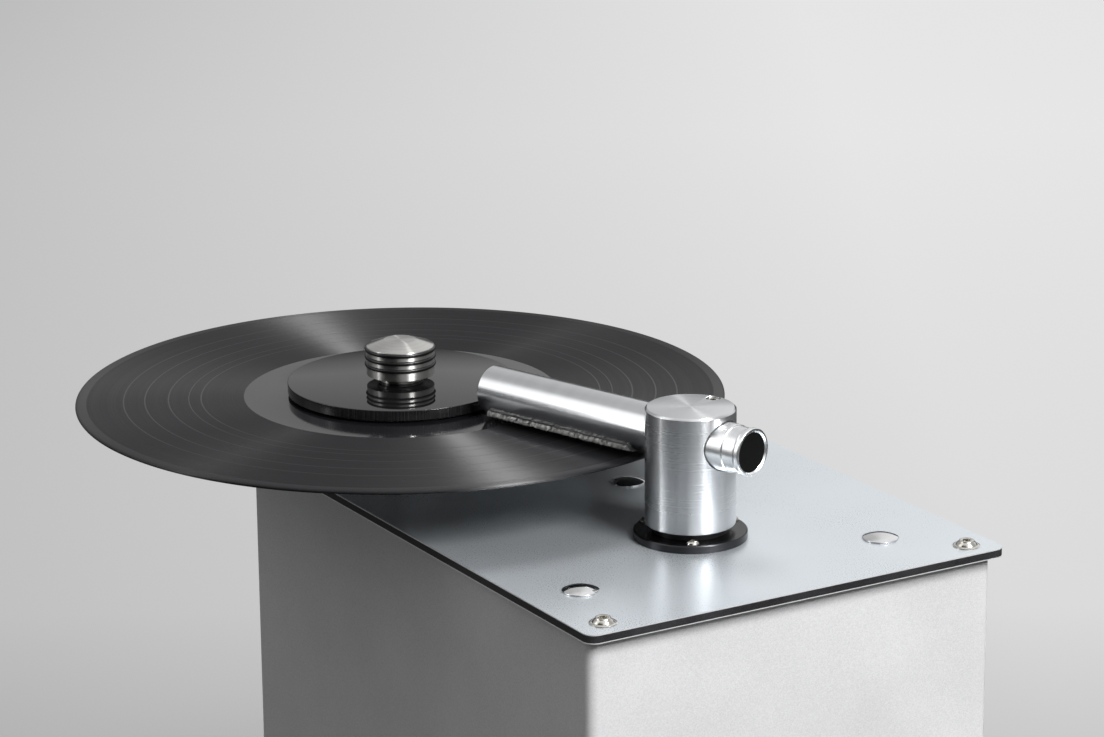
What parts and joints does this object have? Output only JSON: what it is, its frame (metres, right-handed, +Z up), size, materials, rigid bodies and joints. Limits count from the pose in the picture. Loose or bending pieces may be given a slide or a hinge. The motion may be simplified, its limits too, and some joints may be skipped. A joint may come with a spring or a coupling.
{
  "type": "record cleaning machine",
  "caption": "Boxed record cleaning machine: a driven platter, a screw-down clamp that seals the label, and a swinging, lifting suction arm with velvet strips.",
  "frame": {"origin": "middle of the whole machine's outline, record included, on the surface it stands on", "axes": "+Z up, -Y to the front panel with the two rocker switches, +X to the right, so the sockets are at the back at +Y"},
  "size_m": [0.3117, 0.4036, 0.25],
  "materials": {
    "painted_steel": "satin powder coat",
    "black_rubber": "matt",
    "zinc_steel": "bright zinc",
    "ground_steel": "ground",
    "stainless_steel": "polished",
    "chrome_plate": "mirror",
    "plain_aluminium": "mill",
    "brushed_aluminium": "fine brushed",
    "turned_aluminium": "fine turned",
    "black_core": "matt",
    "black_plastic": "moulded",
    "white_plastic": "moulded",
    "bronze": "sintered",
    "brass_blade": "bright",
    "circuit_board": "laminate",
    "board_component": "moulded",
    "vinyl": "grooved gloss",
    "label_paper": "plain",
    "felt": "felt",
    "velvet": "plush",
    "black_acrylic": "polished"
  },
  "bodies": {
    "chassis": {"base_plate": "painted_steel", "feet": "black_rubber", "case_screws": "zinc_steel", "base_screws": "zinc_steel", "case_wrap": "painted_steel", "rear_panel": "painted_steel", "corner_blocks": "plain_aluminium", "top_panel_core": "black_core", "top_panel_skins": "brushed_aluminium", "top_panel_screws": "stainless_steel", "cover_caps": "chrome_plate", "hanger_bolts": "zinc_steel", "hanger_bushes": "black_rubber", "tank_lid": "black_plastic", "waste_tank": "white_plastic", "suction_hose": "black_rubber", "drain_hose": "black_rubber", "drain_spigot": "black_plastic", "fan_housing": "black_plastic", "fan_motor": "plain_aluminium", "fan_mount_ring": "black_rubber", "exhaust_grille": "black_plastic", "bearing_housing": "plain_aluminium", "bearing_screws": "zinc_steel", "spindle_bushes": "bronze", "motor_standoffs": "plain_aluminium", "motor_bracket": "zinc_steel", "gearbox_case": "plain_aluminium", "platter_motor": "painted_steel", "power_board": "circuit_board", "board_parts": "board_component", "board_standoffs": "brass_blade", "mains_inlet": "black_plastic", "inlet_blades": "brass_blade", "switch_housings": "black_plastic", "arm_base_bush": "black_plastic", "arm_base_screws": "stainless_steel"},
    "turntable": {"spindle": "ground_steel", "platter": "plain_aluminium", "platter_mat": "felt", "record": "vinyl", "record_label": "label_paper", "shaft_coupling": "plain_aluminium", "gearbox_shaft": "ground_steel"},
    "clamp_plate": {"clamp_disc": "black_acrylic", "clamp_pad": "black_rubber"},
    "knob": {"clamp_knob": "stainless_steel", "knob_rings": "black_rubber", "clamp_clip": "zinc_steel"},
    "swivel": {"arm_swivel": "black_plastic"},
    "arm": {"arm_post": "turned_aluminium", "arm_tube": "turned_aluminium", "arm_tail": "turned_aluminium", "arm_plugs": "black_rubber", "velvet_strips": "velvet", "arm_screw": "stainless_steel"},
    "direction_switch": {"direction_rocker": "black_plastic"},
    "vacuum_switch": {"vacuum_rocker": "black_plastic"},
    "drain_cover": {"drain_cap": "black_rubber"},
    "fan_rotor": {"impeller": "black_plastic"}
  },
  "joints": [
    {"name": "platter_spin", "type": "hinge", "parent": "chassis", "child": "turntable", "pos_m": [-0.00507, 0.05096, 0.1908], "axis": [0, 0, 1], "continuous": true},
    {"name": "clamp_lift", "type": "slide", "parent": "turntable", "child": "clamp_plate", "axis": [0, 0, 1], "range_m": [0, 0.0151]},
    {"name": "knob_turn", "type": "hinge", "parent": "clamp_plate", "child": "knob", "pos_m": [-0.00507, 0.05096, 0.2235], "axis": [0, 0, 1], "range_deg": [0, 1800]},
    {"name": "arm_swing", "type": "hinge", "parent": "chassis", "child": "swivel", "pos_m": [0.04807, -0.11556, 0.1908], "axis": [0, 0, 1], "range_deg": [-100, 40]},
    {"name": "arm_lift", "type": "slide", "parent": "swivel", "child": "arm", "axis": [0, 0, 1], "range_m": [0, 0.008]},
    {"name": "direction_rock", "type": "hinge", "parent": "chassis", "child": "direction_switch", "pos_m": [-0.01013, -0.19516, 0.054], "axis": [1, 0, 0], "range_deg": [-11, 11]},
    {"name": "vacuum_rock", "type": "hinge", "parent": "chassis", "child": "vacuum_switch", "pos_m": [0.02987, -0.19516, 0.054], "axis": [1, 0, 0], "range_deg": [-22, 0]},
    {"name": "drain_cap_pull", "type": "slide", "parent": "chassis", "child": "drain_cover", "axis": [0, 1, 0], "range_m": [0, 0.018]},
    {"name": "fan_spin", "type": "hinge", "parent": "chassis", "child": "fan_rotor", "pos_m": [0.08507, 0.04474, 0.077], "axis": [0, 0, 1], "continuous": true}
  ],
  "couplings": [
    {"joint": "clamp_lift", "follows": "knob_turn", "m_per_rad": 0.00047746}
  ]
}
